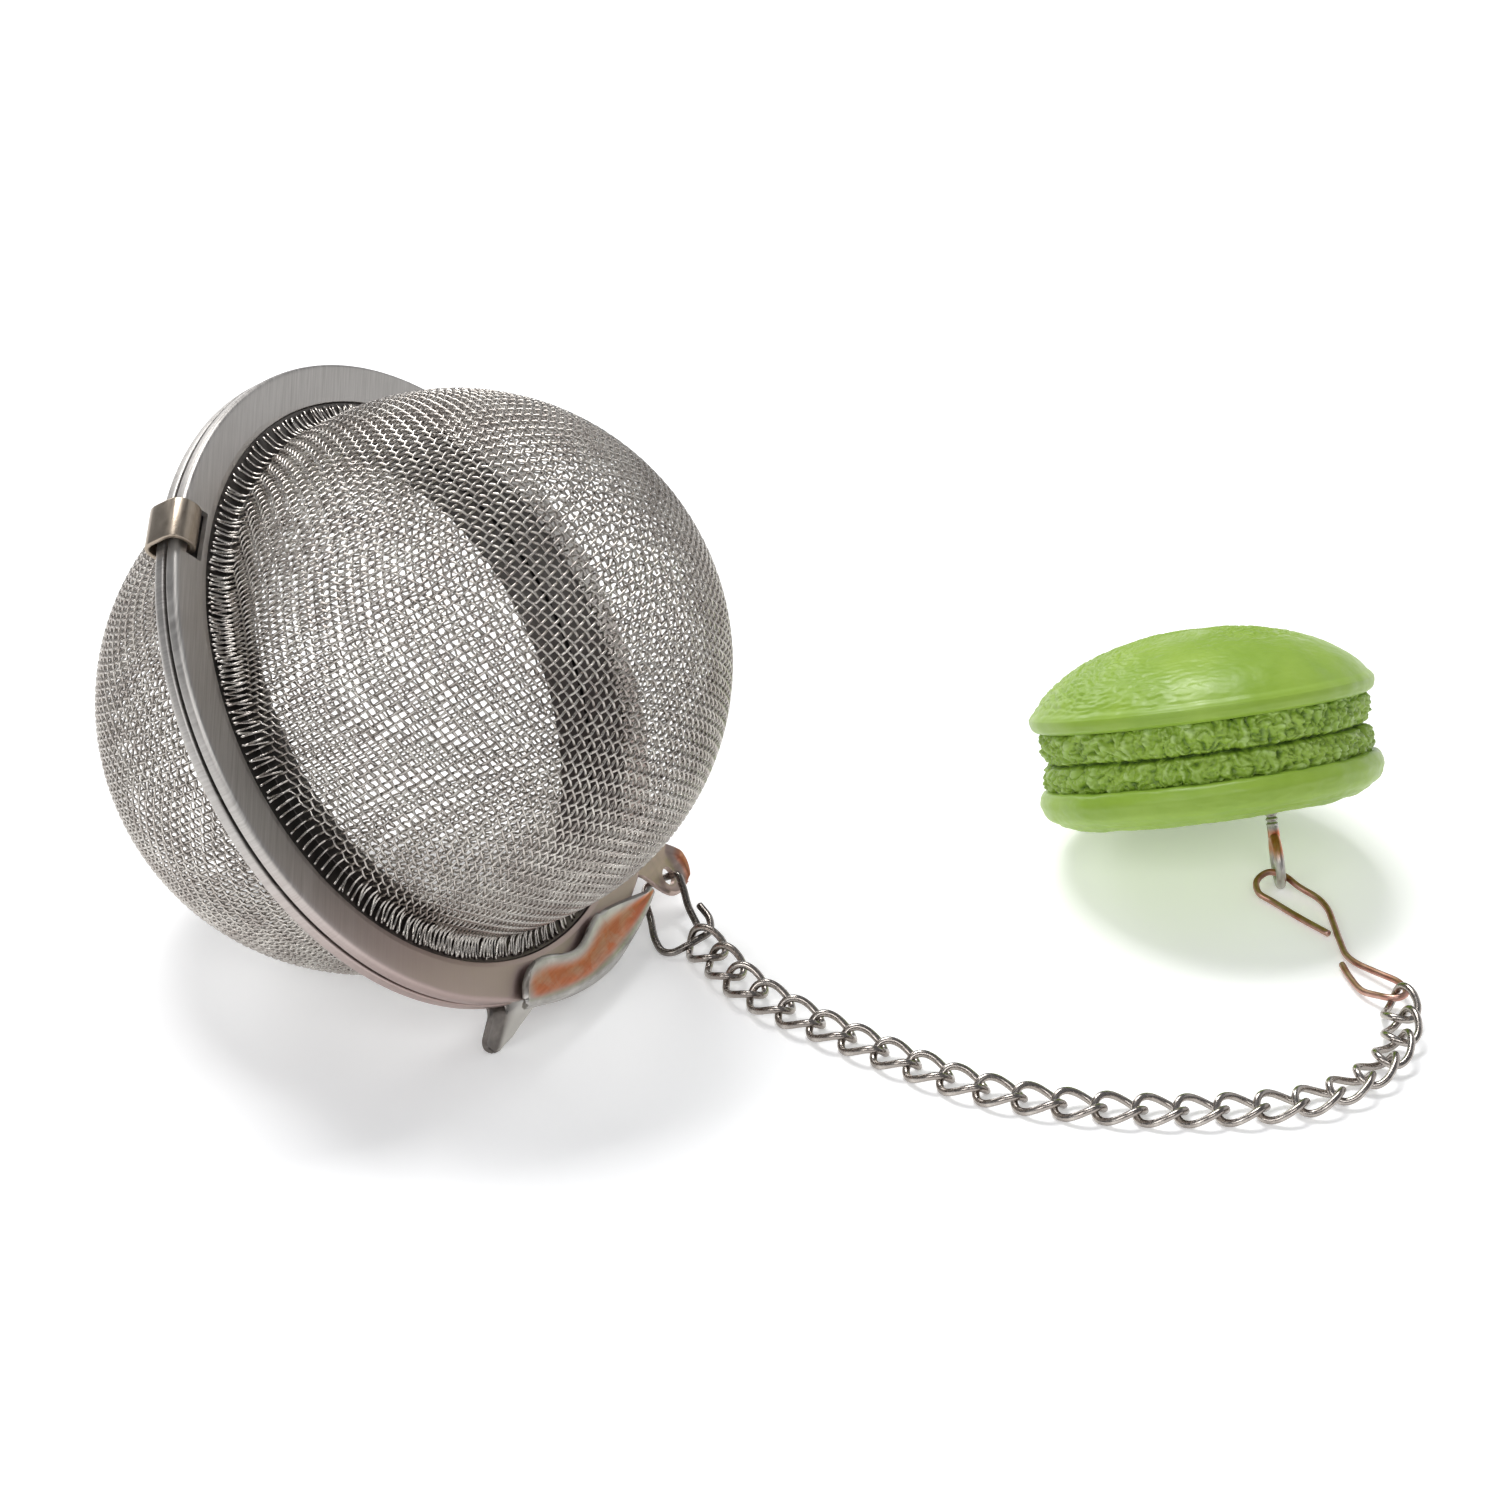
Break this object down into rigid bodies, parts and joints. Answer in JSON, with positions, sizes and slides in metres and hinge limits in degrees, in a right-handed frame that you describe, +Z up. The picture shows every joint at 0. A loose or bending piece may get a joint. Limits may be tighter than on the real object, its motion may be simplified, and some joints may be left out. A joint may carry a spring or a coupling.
{
  "type": "ball tea infuser",
  "caption": "Mesh ball tea infuser with hinged halves, a folded rim clasp, a curb chain with wire hooks and a macaron-shaped charm as its cup weight.",
  "frame": {"origin": "on the table, under the centre of the object's box", "axes": "+Z up from the table, +X from the mesh ball towards the charm, +Y to the back, with the chain's loop on the -Y side"},
  "size_m": [0.1032, 0.0542, 0.0479],
  "materials": {
    "flange_steel": "brushed flanges with polished edges",
    "mesh_steel": "bright woven wire",
    "strap_steel": "tumbled, faintly bronze",
    "chain_steel": "bright tumbled wire",
    "hook_wire": "bright drawn wire with a copper cast",
    "charm_resin": "satin apple-green casting"
  },
  "bodies": {
    "far_half": {"far_mesh_cup": "mesh_steel", "far_rim_with_clasp": "flange_steel"},
    "strap": {"hinge_strap": "strap_steel"},
    "near_half": {"near_mesh_cup": "mesh_steel", "near_rim_with_lug": "flange_steel"},
    "ball_hook": {"ball_hook": "chain_steel"},
    "link_01": {"chain_link_01": "chain_steel"},
    "link_02": {"chain_link_02": "chain_steel"},
    "link_03": {"chain_link_03": "chain_steel"},
    "link_04": {"chain_link_04": "chain_steel"},
    "link_05": {"chain_link_05": "chain_steel"},
    "link_06": {"chain_link_06": "chain_steel"},
    "link_07": {"chain_link_07": "chain_steel"},
    "link_08": {"chain_link_08": "chain_steel"},
    "link_09": {"chain_link_09": "chain_steel"},
    "link_10": {"chain_link_10": "chain_steel"},
    "link_11": {"chain_link_11": "chain_steel"},
    "link_12": {"chain_link_12": "chain_steel"},
    "link_13": {"chain_link_13": "chain_steel"},
    "link_14": {"chain_link_14": "chain_steel"},
    "link_15": {"chain_link_15": "chain_steel"},
    "link_16": {"chain_link_16": "chain_steel"},
    "link_17": {"chain_link_17": "chain_steel"},
    "link_18": {"chain_link_18": "chain_steel"},
    "link_19": {"chain_link_19": "chain_steel"},
    "link_20": {"chain_link_20": "chain_steel"},
    "link_21": {"chain_link_21": "chain_steel"},
    "link_22": {"chain_link_22": "chain_steel"},
    "link_23": {"chain_link_23": "chain_steel"},
    "link_24": {"chain_link_24": "chain_steel"},
    "charm_hook": {"charm_hook": "hook_wire"},
    "charm": {"macaron_charm": "charm_resin", "eye_screw": "chain_steel"}
  },
  "joints": [
    {"name": "near_half_twist", "type": "hinge", "parent": "far_half", "child": "strap", "pos_m": [-0.04355, -0.00844, 0.04143], "axis": [0.7471, -0.3548, 0.5621], "range_deg": [0, 12]},
    {"name": "near_half_swing", "type": "hinge", "parent": "strap", "child": "near_half", "pos_m": [-0.04308, -0.00874, 0.04194], "axis": [-0.0717, -0.8837, -0.4625], "range_deg": [0, 150]},
    {"name": "ball_hook_swing", "type": "hinge", "parent": "near_half", "child": "ball_hook", "pos_m": [-0.00729, 0.00464, 0.00321], "axis": [0.7471, -0.3548, 0.5621], "range_deg": [0, 45]},
    {"name": "chain_joint_01", "type": "hinge", "parent": "ball_hook", "child": "link_01", "pos_m": [-0.00502, -0.00161, 0.00129], "axis": [0, 0, 1], "range_deg": [-8, 20]},
    {"name": "chain_joint_02", "type": "hinge", "parent": "link_01", "child": "link_02", "pos_m": [-0.00334, -0.00419, 0.00131], "axis": [0.8679, 0.4967, 0], "range_deg": [-15, 15]},
    {"name": "chain_joint_03", "type": "hinge", "parent": "link_02", "child": "link_03", "pos_m": [-0.00197, -0.00695, 0.00122], "axis": [0, 0, -1], "range_deg": [-20, 20]},
    {"name": "chain_joint_04", "type": "hinge", "parent": "link_03", "child": "link_04", "pos_m": [-0.00012, -0.00941, 0.00111], "axis": [-0.7475, -0.6643, 0], "range_deg": [-15, 15]},
    {"name": "chain_joint_05", "type": "hinge", "parent": "link_04", "child": "link_05", "pos_m": [0.00211, -0.01153, 0.00101], "axis": [0, 0, 1], "range_deg": [-20, 20]},
    {"name": "chain_joint_06", "type": "hinge", "parent": "link_05", "child": "link_06", "pos_m": [0.00452, -0.01345, 0.00092], "axis": [0.6171, 0.7868, 0], "range_deg": [-15, 15]},
    {"name": "chain_joint_07", "type": "hinge", "parent": "link_06", "child": "link_07", "pos_m": [0.00696, -0.01533, 0.00087], "axis": [0, 0, -1], "range_deg": [-20, 20]},
    {"name": "chain_joint_08", "type": "hinge", "parent": "link_07", "child": "link_08", "pos_m": [0.0094, -0.01721, 0.00085], "axis": [-0.6035, -0.7973, 0], "range_deg": [-15, 15]},
    {"name": "chain_joint_09", "type": "hinge", "parent": "link_08", "child": "link_09", "pos_m": [0.01187, -0.01905, 0.00085], "axis": [0, 0, 1], "range_deg": [-20, 20]},
    {"name": "chain_joint_10", "type": "hinge", "parent": "link_09", "child": "link_10", "pos_m": [0.01434, -0.02088, 0.00085], "axis": [0.5505, 0.8348, 0], "range_deg": [-15, 15]},
    {"name": "chain_joint_11", "type": "hinge", "parent": "link_10", "child": "link_11", "pos_m": [0.017, -0.02244, 0.00085], "axis": [0, 0, -1], "range_deg": [-20, 20]},
    {"name": "chain_joint_12", "type": "hinge", "parent": "link_11", "child": "link_12", "pos_m": [0.01985, -0.02361, 0.00085], "axis": [-0.3283, -0.9446, 0], "range_deg": [-15, 15]},
    {"name": "chain_joint_13", "type": "hinge", "parent": "link_12", "child": "link_13", "pos_m": [0.02281, -0.02446, 0.00085], "axis": [0, 0, 1], "range_deg": [-20, 20]},
    {"name": "chain_joint_14", "type": "hinge", "parent": "link_13", "child": "link_14", "pos_m": [0.02584, -0.02502, 0.00085], "axis": [0.1448, 0.9895, 0], "range_deg": [-15, 15]},
    {"name": "chain_joint_15", "type": "hinge", "parent": "link_14", "child": "link_15", "pos_m": [0.0289, -0.02535, 0.00085], "axis": [0, 0, -1], "range_deg": [-20, 20]},
    {"name": "chain_joint_16", "type": "hinge", "parent": "link_15", "child": "link_16", "pos_m": [0.03198, -0.02546, 0.00085], "axis": [-0.0013, -1, 0], "range_deg": [-15, 15]},
    {"name": "chain_joint_17", "type": "hinge", "parent": "link_16", "child": "link_17", "pos_m": [0.03506, -0.02536, 0.00087], "axis": [0, 0, 1], "range_deg": [-20, 20]},
    {"name": "chain_joint_18", "type": "hinge", "parent": "link_17", "child": "link_18", "pos_m": [0.03813, -0.02513, 0.00093], "axis": [-0.1255, 0.9921, 0], "range_deg": [-15, 15]},
    {"name": "chain_joint_19", "type": "hinge", "parent": "link_18", "child": "link_19", "pos_m": [0.04116, -0.02458, 0.00101], "axis": [0, 0, -1], "range_deg": [-20, 20]},
    {"name": "chain_joint_20", "type": "hinge", "parent": "link_19", "child": "link_20", "pos_m": [0.04395, -0.02329, 0.00107], "axis": [0.5203, -0.854, 0], "range_deg": [-15, 15]},
    {"name": "chain_joint_21", "type": "hinge", "parent": "link_20", "child": "link_21", "pos_m": [0.04639, -0.0214, 0.00112], "axis": [0, 0, 1], "range_deg": [-20, 20]},
    {"name": "chain_joint_22", "type": "hinge", "parent": "link_21", "child": "link_22", "pos_m": [0.04832, -0.019, 0.0012], "axis": [-0.8527, 0.5223, 0], "range_deg": [-15, 15]},
    {"name": "chain_joint_23", "type": "hinge", "parent": "link_22", "child": "link_23", "pos_m": [0.04958, -0.01619, 0.00127], "axis": [0, 0, -1], "range_deg": [-20, 20]},
    {"name": "chain_joint_24", "type": "hinge", "parent": "link_23", "child": "link_24", "pos_m": [0.05006, -0.01315, 0.00132], "axis": [0.9985, -0.0546, 0], "range_deg": [-15, 15]},
    {"name": "charm_hook_joint", "type": "hinge", "parent": "link_24", "child": "charm_hook", "pos_m": [0.04991, -0.01007, 0.00135], "axis": [0, 0, 1], "range_deg": [-20, 20]},
    {"name": "charm_swing", "type": "hinge", "parent": "charm_hook", "child": "charm", "pos_m": [0.04239, 0.00776, 0.00107], "axis": [1, 0, 0], "range_deg": [-20, 20]}
  ]
}
